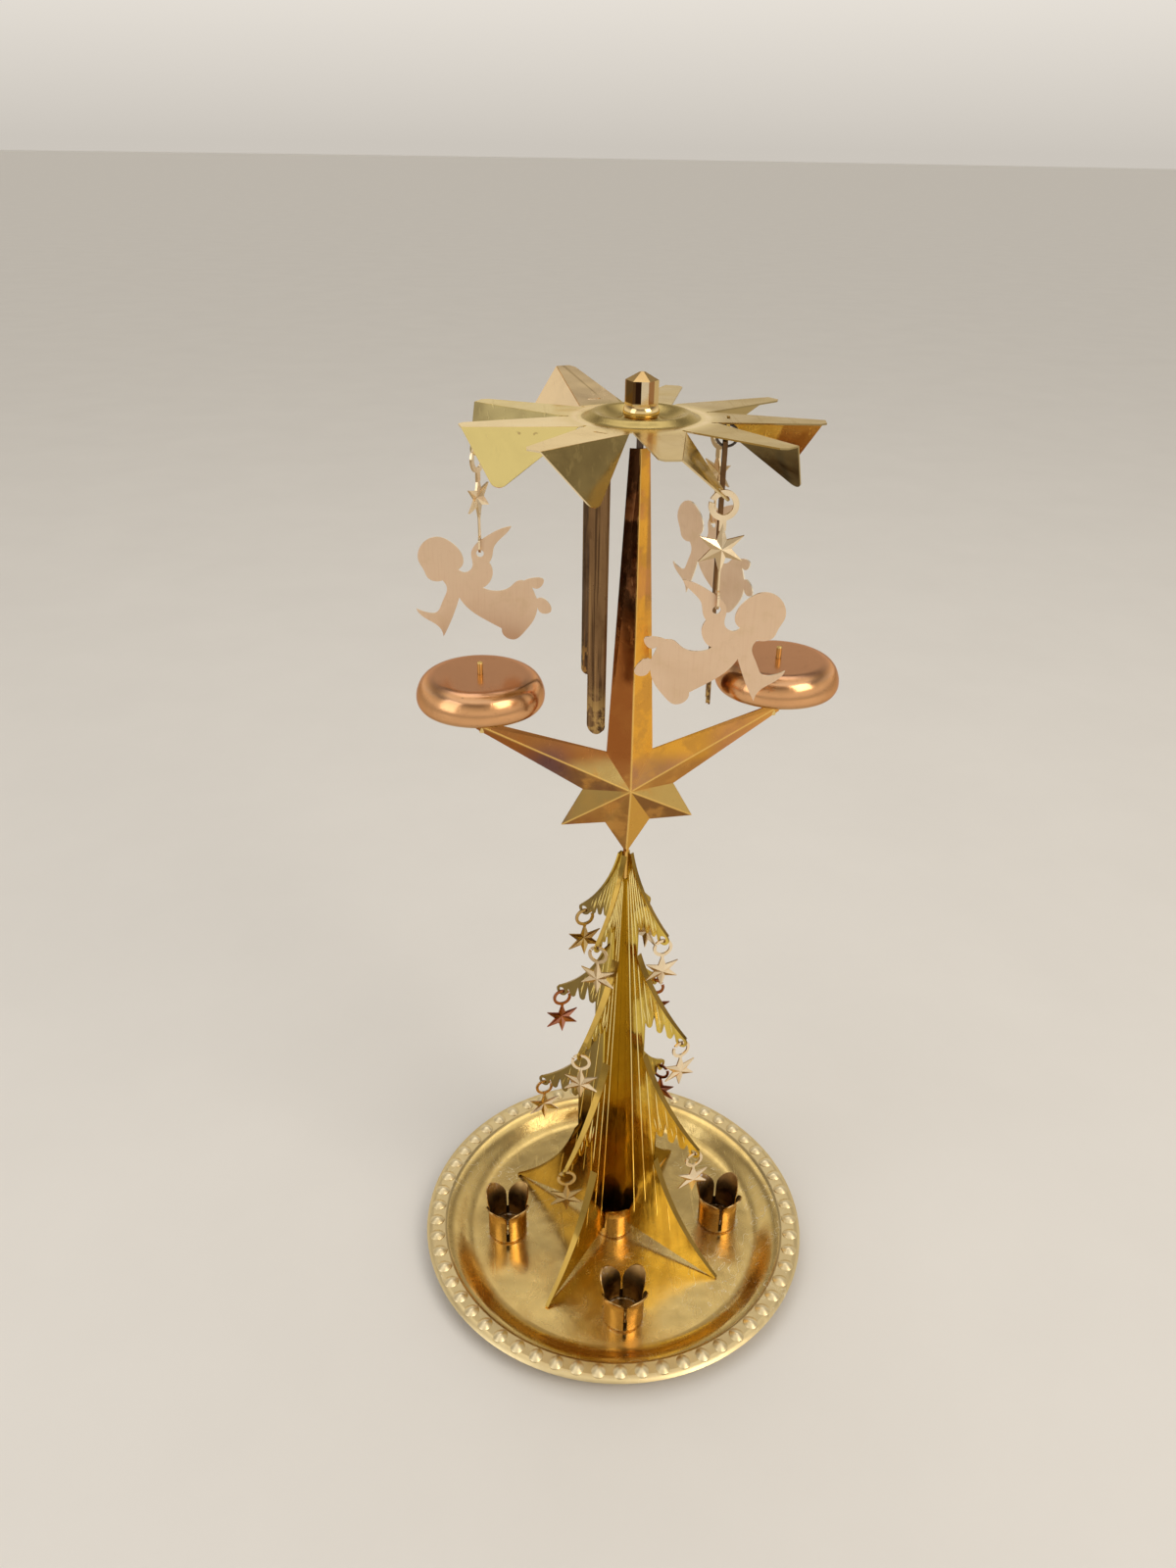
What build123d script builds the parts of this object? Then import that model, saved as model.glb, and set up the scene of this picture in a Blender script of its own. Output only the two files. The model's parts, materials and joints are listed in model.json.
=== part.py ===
from build123d import *
import os
from math import atan2, cos, degrees, hypot, radians, sin, sqrt, tan

os.makedirs("parts", exist_ok=True)

# A brass angel chime carousel. The origin is the centre of the tray's underside, +Z is up.
# The front candle cup stands at -Y. Sizes are in millimetres and turns in degrees.

# Tray
tray_diameter = 133.4
tray_height = 7.0
tray_sheet = 0.6
floor_radius = 49.5
flange_radius = 59.6
rim_roll = 0.9

# Candle cups and the centre socket, one pattern
candle_diameter = 12.7
candle_clearance = 0.05
cup_sheet = 0.4
cup_circle_radius = 38.0
cup_body_height = 10.0
cup_height = 16.0
cup_slit_height = 4.4
cup_finger_width = 8.6
cup_flare = 2.4
cup_foot_round = 0.9
rivet_radius = 1.7
rivet_head_height = 0.6
rivet_shank_radius = 1.0
rivet_clearance = 0.03

# Fir tree
tree_height = 159.3
tree_sheet = 0.5
tree_turn = -37.4
tree_top_half = 1.9
slot_clearance = 0.06
bough_hole_radius = 1.15
bough_lobe_radius = 2.0
flange_root = 2.4
flange_tip = 0.9
top_flange_root = 1.4
foot_reach = 42.3
foot_tip_height = 1.2
tongue_depth = 9.0
tongue_slot_half = 1.1

# Where the lower boughs leave the trunk, where the ornament holes are and where the foot starts,
# as shares of the foot's reach outwards and of the tree's height upwards
bough_start_shares = ((0.13, 0.772), (0.2222, 0.5273))
bough_hole_shares = ((0.338, 0.8374), (0.539, 0.6114), (0.7163, 0.3377))
foot_start_shares = (0.3664, 0.2574)

# Tree stars
ornament_star_radius = 6.0
ornament_ring_radius = 3.1
ornament_ring_band = 0.95
ornament_sheet = 0.5
ornament_drop = 8.5
ornament_rise = 0.8
ring_gap = 0.7
ornament_gap_turn = 150.0

# Mast star
star_stand = 22.9
star_turn = 5.7
star_valley_radius = 13.3
star_point_radius = 22.6
star_sheet = 0.5
star_rise = 3.6
wheel_gap = 7.4
mast_top_width = 5.2
mast_top_rise = 1.0
arm_reach = 41.8
arm_angle = 27.7
arm_end_width = 2.6
arm_end_rise = 0.3
arm_overhang = 1.2
tongue_width = 1.7

# Needle and bell posts
needle_radius = 0.9
needle_clearance = 0.03
needle_hold = 28.6
needle_point_length = 1.6
post_radius = 0.75
post_rise = 18.95
post_collar_radius = 1.8
post_collar_height = 0.8
post_overlap = 1.2

# Bells
bell_diameter = 34.8
bell_height = 8.4
bell_wall = 0.6
bell_rise = 7.25
bell_hole_clearance = 0.08
bell_seat_gap = 0.05

# Fan wheel. Each blade is a flat strip along its axis and a flap folded down along its other side
wheel_radius = 45.6
wheel_sheet = 0.4
wheel_turn = -8.2
blade_count = 9
hub_radius = 18.0
dish_radius = 12.2
dish_rise = 1.3
wheel_hole_radius = 1.3
strip_root_side = 4.4
strip_tip_side = 2.5
strip_corner = 1.5
fold_start = 18.3
fold_root_offset = 8.1
fold_tip_offset = 2.5
flap_round = 2.4
flap_hole_radius = 1.3
flap_angle = 53.0
angel_flap_angle = 44.0
bent_blade = 3
bent_angle = 11.5

# The flap's apex and its hole, along the fold and out from it, as shares of the fold's length
flap_apex_shares = (0.717, 0.588)
flap_hole_shares = (0.688, 0.448)

# Collar and cap
collar_radius = 4.5
collar_height = 3.0
cap_width = 7.2
cap_height = 5.8
cap_point_height = 1.9
cap_bore_radius = 1.0
cap_roof = 1.4

# Star links and angels
link_sheet = 0.6
link_ring_radius = 3.5
link_ring_band = 1.3
link_gap_turn = 160.0
link_star_drop = 10.0
link_length = 27.1
link_leg_width = 1.6
link_eye_width = 3.2
link_eye_height = 4.6
link_eye_band = 0.6
hang_clearance = 0.15
angel_span = 36.5
angel_depth_share = 0.66
angel_clearance = 2.55
angel_sheet = 0.4
angel_hole_radius = 1.0
first_angel_blade = 1
angel_facings = (120.0, 175.0, 0.0)

# Strikers
striker_circle_radius = 21.7
striker_offset = 2.4
striker_dip = 3.23
striker_width = 5.0
striker_depth = 1.2
striker_sheet = 0.45
striker_hole_radius = 0.9
striker_lip = 2.0
striker_ring_radius = 2.7
striker_wire_radius = 0.35
bridge_length = 4.4
bridge_width = 0.8
bridge_depth = 2.4
bridge_clearance = 0.18
first_striker_blade = 0

overrun = 5.0

# Sizes worked out from those above
tray_radius = tray_diameter / 2
cup_inner_radius = candle_diameter / 2 + candle_clearance
cup_outer_radius = cup_inner_radius + cup_sheet
cup_floor_height = tray_sheet + cup_sheet
trunk_foot_height = cup_floor_height + rivet_head_height + slot_clearance
tree_middle = tree_height / 2
bough_starts = [(tree_top_half, tree_height)]
bough_starts += [(foot_reach * out, tree_height * up) for out, up in bough_start_shares]
bough_holes = [(foot_reach * out, tree_height * up) for out, up in bough_hole_shares]
foot_start = (foot_reach * foot_start_shares[0], tree_height * foot_start_shares[1])
star_height = tree_height + star_stand
arm_end_height = star_height + arm_reach * tan(radians(arm_angle))
bell_rim_height = arm_end_height + bell_rise
post_top_height = arm_end_height + post_rise
fold_length = hypot(wheel_radius - fold_start, fold_root_offset - fold_tip_offset)
flap_apex = (fold_length * flap_apex_shares[0], fold_length * flap_apex_shares[1])
flap_hole = (fold_length * flap_hole_shares[0], fold_length * flap_hole_shares[1])
flap_hole_edge = (flap_hole[1] + flap_hole_radius - hang_clearance
                  - wheel_sheet / 2 / tan(radians(angel_flap_angle)))
link_drop = flap_hole_edge * sin(radians(angel_flap_angle)) - link_ring_band / 2
angel_drop = angel_hole_radius - hang_clearance - link_eye_band / 2
wheel_height = (post_top_height + angel_clearance + angel_span * angel_depth_share + angel_drop
                + link_length + link_drop)
mast_top_height = wheel_height - wheel_gap
needle_foot_height = mast_top_height - needle_hold
quarter_turn = 90.0
blade_pitch = 4 * quarter_turn / blade_count
seat_turns = {"front": -90.0, "right": 0.0, "back": 90.0, "left": 180.0}


# General helpers

def shifted(shape, x=0, y=0, z=0):
    return Location((x, y, z)) * shape


def turned(shape, turn):
    return Rot(0, 0, turn) * shape


def upright(shape):
    # Stands an outline drawn in X and Y up, so that its Y becomes height.
    return Rot(90, 0, 0) * shape


def plate(face, thickness):
    # An upright sheet, half of its thickness on each side of the XZ plane.
    return upright(extrude(face, amount=thickness / 2, both=True))


def outline(points):
    return make_face(Polyline(*points, close=True))


def stretch(points):
    # One stretch of an outline: a line through two points, a curve through more.
    if len(points) == 2:
        return Line(*points)
    return Spline(*points)


def inset(points, wall):
    # The points moved to the left of their direction of travel by the wall.
    moved = []
    last = len(points) - 1
    for i, (x, y) in enumerate(points):
        ahead = points[min(i + 1, last)]
        behind = points[max(i - 1, 0)]
        run = (ahead[0] - behind[0], ahead[1] - behind[1])
        length = hypot(*run)
        moved.append((x - wall * run[1] / length, y + wall * run[0] / length))
    return moved


def spun_sheet(stretches, wall):
    # A sheet of even wall turned about Z. The stretches follow its outer side, radius then height.
    points = [stretches[0][0]] + [p for part in stretches for p in part[1:]]
    inner = inset(points, wall)
    edges = [stretch(part) for part in stretches]
    first = 0
    for part in stretches:
        last = first + len(part) - 1
        edges.append(stretch(inner[first:last + 1]))
        first = last
    edges.append(Line(points[0], inner[0]))
    edges.append(Line(points[-1], inner[-1]))
    return revolve(upright(make_face(edges)), Axis.Z)


def pressed(triangles, thickness):
    # A folded sheet made of flat triangles, each given the same thickness along +Y.
    facets = [extrude(outline(corners), amount=thickness, dir=(0, 1, 0)) for corners in triangles]
    return facets[0].fuse(*facets[1:])


# Tray

def make_tray():
    rise = tray_height - tray_sheet
    shoulder = rise - rim_roll
    middle = (floor_radius + flange_radius) / 2
    wall = [(floor_radius, 0), ((floor_radius + middle) / 2, shoulder * 0.1), (middle, shoulder * 0.42),
            ((flange_radius + middle) / 2, shoulder * 0.82), (flange_radius, shoulder)]
    step = [(flange_radius, shoulder), (flange_radius + rim_roll, rise - rim_roll / 3)]
    edge = tray_radius - tray_sheet * 0.6
    flange = [step[1], (edge - 2 * rim_roll, rise)]
    roll = [flange[1], (edge - rim_roll, rise - rim_roll / 4), (edge, rise - rim_roll)]
    tray = spun_sheet([[(0, 0), wall[0]], wall, step, flange, roll], tray_sheet)
    hole = Cylinder(rivet_shank_radius + rivet_clearance, overrun)
    tray -= hole
    for turn in seat_turns.values():
        tray -= turned(shifted(hole, x=cup_circle_radius), turn)
    return tray


# Candle cups and centre socket

def make_cup():
    foot = cup_outer_radius - cup_foot_round
    straight = [(cup_outer_radius, cup_foot_round), (cup_outer_radius, cup_body_height)]
    rise = cup_height - cup_body_height
    flare = [straight[1], (cup_outer_radius + cup_flare * 0.2, cup_body_height + rise * 0.4),
             (cup_outer_radius + cup_flare, cup_height)]
    knuckle = [(foot, 0), (cup_outer_radius - cup_foot_round * 0.3, cup_foot_round * 0.3), straight[0]]
    shell = spun_sheet([[(0, 0), (foot, 0)], knuckle, straight, flare], cup_sheet)
    reach = cup_outer_radius + cup_flare + overrun
    base = shell & shifted(Cylinder(reach, cup_slit_height), z=cup_slit_height / 2)
    half = cup_finger_width / 2
    round_centre = cup_height - half
    finger_outline = Pos(0, (round_centre + cup_slit_height) / 2) * Rectangle(
        cup_finger_width, round_centre - cup_slit_height)
    finger_outline += Pos(0, round_centre) * Circle(half)
    finger_block = extrude(upright(finger_outline), amount=reach, dir=(0, -1, 0))
    above = shifted(Cylinder(reach, cup_height), z=cup_slit_height + cup_height / 2)
    cup = base
    for corner in range(4):
        cup += shell & turned(finger_block, quarter_turn * (corner + 0.5)) & above
    return cup - Cylinder(rivet_shank_radius + rivet_clearance, overrun)


def make_rivet():
    head = [(0, cup_floor_height), (rivet_radius, cup_floor_height)]
    crown = cup_floor_height + rivet_head_height
    dome = [head[1], (rivet_radius * 0.7, cup_floor_height + rivet_head_height * 0.8), (0, crown)]
    rim = make_face([Line(*head), Spline(*dome), Line(dome[2], head[0])])
    shank = shifted(Cylinder(rivet_shank_radius, cup_floor_height), z=cup_floor_height / 2)
    return revolve(upright(rim), Axis.Z) + shank


# Fir tree

def bough_points(index):
    # Start of the bough's outer edge, its hole, and the start of the next form below it.
    start = bough_starts[index]
    hole = bough_holes[index]
    below = bough_starts[index + 1] if index + 1 < len(bough_starts) else foot_start
    return start, hole, below


def drooping_edge(start, end, drop=0.0):
    # The concave upper edge of a bough or foot, moved down into the sheet by drop.
    sag_share = 0.075
    run = (end[0] - start[0], end[1] - start[1])
    length = hypot(*run)
    inward = (run[1] / length, -run[0] / length)
    middle = ((start[0] + end[0]) / 2 + inward[0] * length * sag_share,
              (start[1] + end[1]) / 2 + inward[1] * length * sag_share)
    move = (inward[0] * drop, inward[1] * drop)
    return [(p[0] + move[0], p[1] + move[1]) for p in (start, middle, end)]


def bough_end(hole):
    # Where the upper edge runs into the lobe round the ornament hole.
    side = bough_lobe_radius * cos(radians(40))
    return (hole[0] + side, hole[1] + bough_lobe_radius * sin(radians(40)))


def fringe_edges(outer, inner):
    # Three finger-shaped fringes along the lower edge, cut deeper from the tip back to the trunk.
    finger_count = 3
    gap_share, near_share, far_share, depth_share = 0.16, 0.34, 0.86, 0.5
    run = (inner[0] - outer[0], inner[1] - outer[1])
    finger_width = -run[0] * (far_share - near_share) / finger_count

    def along(part, up=0.0):
        share = part / finger_count
        return (outer[0] + run[0] * share, outer[1] + run[1] * share + up)

    edges = []
    here = outer
    for finger in range(finger_count):
        depth = -run[0] * depth_share * (finger + 1) / finger_count
        gap = along(finger + gap_share, depth)
        near = along(finger + near_share)
        far = along(finger + far_share)
        low = along(finger + (near_share + far_share) / 2, -finger_width / 2)
        edges += [Line(here, gap), Line(gap, near), ThreePointArc(near, low, far)]
        here = far
    edges.append(Line(here, inner))
    return edges


def bough_face(index):
    start, hole, below = bough_points(index)
    end = bough_end(hole)
    outer = (hole[0] - bough_lobe_radius, hole[1])
    inner = (below[0], hole[1] + bough_lobe_radius * 0.6)
    edges = [ThreePointArc(*drooping_edge(start, end)), Line(end, hole), Line(hole, outer)]
    edges += fringe_edges(outer, inner)
    edges += [Line(inner, below), Line(below, (0, below[1])), Line((0, below[1]), (0, start[1]))]
    edges.append(Line((0, start[1]), start))
    face = make_face(edges) + Pos(*hole) * Circle(bough_lobe_radius)
    return face - Pos(*hole) * Circle(bough_hole_radius)


def foot_face():
    tip = (foot_reach, foot_tip_height)
    heel_radius = cup_outer_radius + cup_sheet
    heel_height = cup_slit_height + cup_sheet + tray_sheet
    inside = cup_inner_radius - cup_sheet
    edges = [ThreePointArc(*drooping_edge(foot_start, tip))]
    corners = [tip, (foot_reach - foot_tip_height / 2, tray_sheet), (heel_radius, heel_height),
               (inside, heel_height), (inside, trunk_foot_height), (0, trunk_foot_height),
               (0, foot_start[1]), foot_start]
    edges += [Line(a, b) for a, b in zip(corners, corners[1:])]
    return make_face(edges)


def folded_edge(start, end, root, tip):
    # The narrow strip folded square to the sheet along an upper edge, tapering to the tip.
    upper = drooping_edge(start, end)
    lower = drooping_edge(start, end, tree_sheet)
    face = make_face([ThreePointArc(*upper), Line(upper[2], lower[2]), ThreePointArc(*lower),
                      Line(lower[0], upper[0])])
    strip = upright(extrude(face, amount=-root))
    taper = outline([(start[0] - root, -tree_sheet), (start[0] - root, root), (start[0], root),
                     (end[0] + tree_sheet, tip), (end[0] + tree_sheet, -tree_sheet)])
    return strip & extrude(taper, amount=tree_height + overrun)


def make_wing():
    pieces = [plate(foot_face(), tree_sheet),
              folded_edge(foot_start, (foot_reach, foot_tip_height), flange_root, flange_tip)]
    for index in range(len(bough_starts)):
        start, hole, _ = bough_points(index)
        root = top_flange_root if index == 0 else flange_root
        pieces += [plate(bough_face(index), tree_sheet), folded_edge(start, bough_end(hole), root, flange_tip)]
    return pieces[0].fuse(*pieces[1:])


def make_tree_panels():
    wing = make_wing()
    panel = wing + turned(wing, 180)
    slot = tree_sheet + 2 * slot_clearance
    low_slot = Box(slot, slot + overrun, tree_middle + overrun)
    low_slot = shifted(low_slot, z=(tree_middle - overrun) / 2)
    high_slot = shifted(Box(slot, slot + overrun, tree_middle + overrun),
                        z=tree_middle + (tree_middle + overrun) / 2)
    clip = shifted(Box(2 * tongue_slot_half, overrun, 2 * tongue_depth), z=tree_height)
    first = turned(panel - low_slot - clip, tree_turn)
    second = turned(panel - high_slot - clip, tree_turn + 90)
    return first, second


# Stars

def star_facets(outer, valley_share, rise):
    # Facets of a ridged six-pointed star about the origin in XZ, its middle raised towards -Y.
    middle = (0, -rise, 0)
    facets = []
    for point in range(6):
        tip_turn = radians(quarter_turn + 60 * point)
        tip = (outer * cos(tip_turn), 0, outer * sin(tip_turn))
        for side in (-30, 30):
            turn = tip_turn + radians(side)
            valley = (outer * valley_share * cos(turn), 0, outer * valley_share * sin(turn))
            facets.append((middle, tip, valley))
    return facets


def open_ring(radius, band, thickness, gap, gap_turn):
    ring = Circle(radius) - Circle(radius - band)
    cut = Pos(radius - band / 2, 0) * Rectangle(3 * band, gap)
    return plate(ring - Rot(0, 0, gap_turn) * cut, thickness)


def make_ornament():
    # A tree star hanging from the origin, which is the middle of its ring's band at the top.
    valley_share = 0.4
    ring_drop = ornament_ring_radius - ornament_ring_band / 2
    star = pressed(star_facets(ornament_star_radius, valley_share, ornament_rise), ornament_sheet)
    star = shifted(star, y=-ornament_sheet / 2, z=-ring_drop - ornament_drop)
    ring = open_ring(ornament_ring_radius, ornament_ring_band, ornament_sheet, ring_gap, ornament_gap_turn)
    ring = shifted(ring, z=-ring_drop)
    stem_top = ring_drop + ornament_ring_radius - ornament_ring_band / 2
    stem_foot = ring_drop + ornament_drop - ornament_star_radius * 0.8
    stem = Box(ornament_ring_band, ornament_sheet, stem_foot - stem_top)
    return star + ring + shifted(stem, z=-(stem_top + stem_foot) / 2)


def ornament_hang(index):
    # Radius and height of the band's middle as it lies in the bough's hole.
    rest = bough_hole_radius - hang_clearance - ornament_ring_band / 2
    return bough_holes[index][0], bough_holes[index][1] - rest


# Mast star, needle and bell posts

def arm_facets(turn, length, end_width, end_rise):
    # A long arm between two valleys: two facets on each side of its ridge.
    middle = (0, -star_rise, 0)
    along = (cos(radians(turn)), sin(radians(turn)))
    end = (along[0] * length, -end_rise, along[1] * length)
    nearest = round((turn - 30) / 60) * 60
    facets = []
    for side, valley_turn in ((1, nearest), (-1, nearest + 60)):
        valley = (star_valley_radius * cos(radians(valley_turn)), 0,
                  star_valley_radius * sin(radians(valley_turn)))
        corner = (end[0] + side * along[1] * end_width / 2, 0, end[2] - side * along[0] * end_width / 2)
        facets += [(middle, valley, end), (valley, corner, end)]
    return facets


def point_facets(turn):
    middle = (0, -star_rise, 0)
    tip = (star_point_radius * cos(radians(turn)), 0, star_point_radius * sin(radians(turn)))
    facets = []
    for side in (-30, 30):
        valley_turn = radians(turn + side)
        valley = (star_valley_radius * cos(valley_turn), 0, star_valley_radius * sin(valley_turn))
        facets.append((middle, tip, valley))
    return facets


def needle_shift():
    # How far the star stands in front of the needle, so that the mast's fold holds the needle.
    slope = mast_top_rise / (mast_top_width / 2)
    hold = (needle_radius + needle_clearance) * sqrt(1 + slope * slope)
    return mast_top_rise - star_sheet - hold


def make_mast_star():
    arm_length = arm_reach / cos(radians(arm_angle)) + arm_overhang
    facets = arm_facets(90, mast_top_height - star_height, mast_top_width, mast_top_rise)
    facets += arm_facets(arm_angle, arm_length, arm_end_width, arm_end_rise)
    facets += arm_facets(180 - arm_angle, arm_length, arm_end_width, arm_end_rise)
    for turn in (210, 270, 330):
        facets += point_facets(turn)
    star = shifted(pressed(facets, star_sheet), y=needle_shift(), z=star_height)
    tongue_top = star_height - star_point_radius * 0.9
    tongue_foot = tree_height - tongue_depth + slot_clearance
    tongue = Box(tongue_width, star_sheet, tongue_top - tongue_foot)
    return star + shifted(tongue, y=needle_shift() / 2, z=(tongue_top + tongue_foot) / 2)


def make_needle():
    point_height = needle_point_height()
    body = point_height - needle_point_length - needle_foot_height
    needle = shifted(Cylinder(needle_radius, body), z=needle_foot_height + body / 2)
    point = Cone(needle_radius, needle_radius * 0.15, needle_point_length)
    return needle + shifted(point, z=point_height - needle_point_length / 2)


def needle_point_height():
    return wheel_height + collar_height + cap_height - cap_roof


def bell_seat_height():
    return bell_rim_height + bell_height - bell_wall


def make_post(star):
    foot = arm_end_height - arm_end_width / 2 - post_overlap / 2
    length = post_top_height - foot
    post = shifted(Cylinder(post_radius, length), x=arm_reach, z=foot + length / 2)
    post = fillet(post.edges().group_by(Axis.Z)[-1], post_radius * 0.5)
    collar_top = bell_seat_height() - bell_seat_gap
    collar = Cylinder(post_collar_radius, post_collar_height)
    return post + shifted(collar, x=arm_reach, z=collar_top - post_collar_height / 2) - star


def make_bell():
    # A shallow gong: slightly dished top, round shoulder and a rim turned in a little.
    radius = bell_diameter / 2
    hole = post_radius + bell_hole_clearance
    wall_shares = ((0.955, 0.0), (0.99, 0.13), (1.0, 0.3), (0.975, 0.55), (0.9, 0.82), (0.79, 0.965),
                   (0.68, 1.0))
    side = [(radius * r, bell_height * z) for r, z in wall_shares]
    top = [side[-1], (hole, bell_height)]
    return shifted(spun_sheet([side, top], bell_wall), x=arm_reach, z=bell_rim_height)


# Fan wheel, collar and cap

def strip_face():
    # The flat strip of the blade that points along +X.
    root = hub_radius * 0.8
    return outline([(root, -strip_root_side * 0.89), (fold_start, -strip_root_side),
                    (wheel_radius - strip_corner, -strip_tip_side), (wheel_radius, -strip_tip_side / 2),
                    (wheel_radius, fold_tip_offset), (fold_start, fold_root_offset),
                    (root, fold_root_offset * 0.79)])


def flap_face():
    # The flap as it lies before it is folded, in the fold's own frame: along the fold, then out.
    triangle = outline([(0, 0), (fold_length, 0), flap_apex])
    corner = triangle.vertices().sort_by(Axis.Y)[-1]
    return fillet(corner, flap_round)


def fold_place(angle):
    # From the flap's own frame to the blade's, with the flap folded down by the angle.
    fold_turn = degrees(atan2(fold_tip_offset - fold_root_offset, wheel_radius - fold_start))
    return Location((fold_start, fold_root_offset, 0)) * Rot(0, 0, fold_turn) * Rot(-angle, 0, 0)


def make_blade(with_hole, with_bridge):
    strip, flap = strip_face(), flap_face()
    angle = flap_angle
    if with_hole:
        angle = angel_flap_angle
        flap -= Pos(*flap_hole) * Circle(flap_hole_radius)
    if with_bridge:
        strip -= Pos(striker_circle_radius, striker_offset) * Rectangle(bridge_width, bridge_length)
    flat = extrude(strip, amount=wheel_sheet / 2, both=True)
    folded = fold_place(angle) * extrude(flap, amount=wheel_sheet / 2, both=True)
    blade = flat + folded
    if with_bridge:
        blade += make_bridge()
    return blade


def make_bridge():
    # The narrow strip pressed down out of the blade that a striker's ring hangs on.
    half = bridge_length / 2
    inner = bridge_depth - wheel_sheet
    top = wheel_sheet / 2
    arch = make_face([ThreePointArc((-half, top), (0, -bridge_depth), (half, top)),
                      Line((half, top), (half - wheel_sheet, top)),
                      ThreePointArc((half - wheel_sheet, top), (0, -inner), (wheel_sheet - half, top)),
                      Line((wheel_sheet - half, top), (-half, top))])
    arch = turned(plate(arch, bridge_width), 90)
    return shifted(arch, x=striker_circle_radius, y=striker_offset)


def make_wheel():
    ridge = [(collar_radius, 0), (dish_radius * 0.75, dish_rise * 0.2), (dish_radius, dish_rise),
             (dish_radius * 1.14, dish_rise * 0.15), (dish_radius * 1.2, 0)]
    flat = [ridge[-1], (hub_radius, 0)]
    centre = spun_sheet([[(wheel_hole_radius, 0), ridge[0]], ridge, flat], wheel_sheet)
    inside = Cylinder(dish_radius * 1.2, overrun)
    wheel = shifted(centre, z=-wheel_sheet / 2)
    for blade in range(blade_count):
        carries_angel = blade % 3 == first_angel_blade
        carries_striker = blade % 3 == first_striker_blade
        shape = make_blade(carries_angel, carries_striker) - inside
        if blade == bent_blade:
            hinge = shifted(Rot(0, -bent_angle, 0) * shifted(shape, x=-hub_radius), x=hub_radius)
            keep = shifted(Box(2 * wheel_radius, wheel_radius, wheel_radius), x=hub_radius + wheel_radius)
            stay = shape - keep
            shape = stay + (hinge & shifted(keep, x=-wheel_sheet / 2))
        wheel += turned(shape, blade_turn(blade))
    return shifted(wheel, z=wheel_height)


def blade_turn(blade):
    return wheel_turn + blade_pitch * blade


def make_collar():
    waist = collar_radius * 0.86
    shares = ((waist, 0.0), (collar_radius, 0.3), (collar_radius, 0.6), (waist, 1.0))
    side = [(radius, collar_height * share) for radius, share in shares]
    rim = make_face([Spline(*side), Line(side[-1], (cap_bore_radius, collar_height)),
                     Line((cap_bore_radius, collar_height), (cap_bore_radius, 0)),
                     Line((cap_bore_radius, 0), side[0])])
    return shifted(revolve(upright(rim), Axis.Z), z=wheel_height + wheel_sheet / 2)


def make_cap():
    foot = wheel_height + wheel_sheet / 2 + collar_height
    body = extrude(RegularPolygon(cap_width / 2, 6, major_radius=False), amount=cap_height)
    base = RegularPolygon(cap_width / 2, 6, major_radius=False)
    crown = loft([base, Pos(0, 0, cap_point_height) * RegularPolygon(cap_width / 12, 6, major_radius=False)])
    cap = body + shifted(crown, z=cap_height)
    bore = cap_height - cap_roof
    drill = shifted(Cylinder(cap_bore_radius, bore), z=bore / 2)
    return shifted(cap - drill, z=foot)


# Star links, angels and strikers

def link_hang():
    # Radius, offset and height of the link ring's band as it lies in the flap's hole.
    place = fold_place(angel_flap_angle) * Location((flap_hole[0], flap_hole_edge, 0))
    return place.position.X, place.position.Y, wheel_height - link_drop


def make_link(eye_turn):
    # A link hanging from the origin: ring, star, leg and an eye turned to suit its angel.
    valley_share = 0.4
    ring_drop = link_ring_radius - link_ring_band / 2
    ring = open_ring(link_ring_radius, link_ring_band, link_sheet, ring_gap, link_gap_turn)
    ring = shifted(ring, z=-ring_drop)
    star = pressed(star_facets(ornament_star_radius, valley_share, ornament_rise), link_sheet)
    star = shifted(star, y=-link_sheet / 2, z=-ring_drop - link_star_drop)
    neck_top = ring_drop + link_ring_radius - link_ring_band / 2
    neck_foot = ring_drop + link_star_drop - ornament_star_radius * 0.7
    neck = shifted(Box(link_leg_width, link_sheet, neck_foot - neck_top), z=-(neck_top + neck_foot) / 2)
    eye_drop = link_length + link_eye_band / 2 - link_eye_height / 2
    eye = SlotOverall(link_eye_height, link_eye_width) - SlotOverall(
        link_eye_height - 2 * link_eye_band, link_eye_width - 2 * link_eye_band)
    eye = turned(plate(Rot(0, 0, 90) * eye, link_sheet), eye_turn)
    leg_top = ring_drop + link_star_drop + ornament_star_radius * 0.7
    leg_foot = eye_drop - link_eye_height / 2 + link_eye_band / 2
    leg = Cylinder(link_sheet * 0.6, leg_foot - leg_top)
    leg = shifted(leg, z=-(leg_top + leg_foot) / 2)
    return ring + star + neck + leg + shifted(eye, z=-eye_drop)


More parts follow.
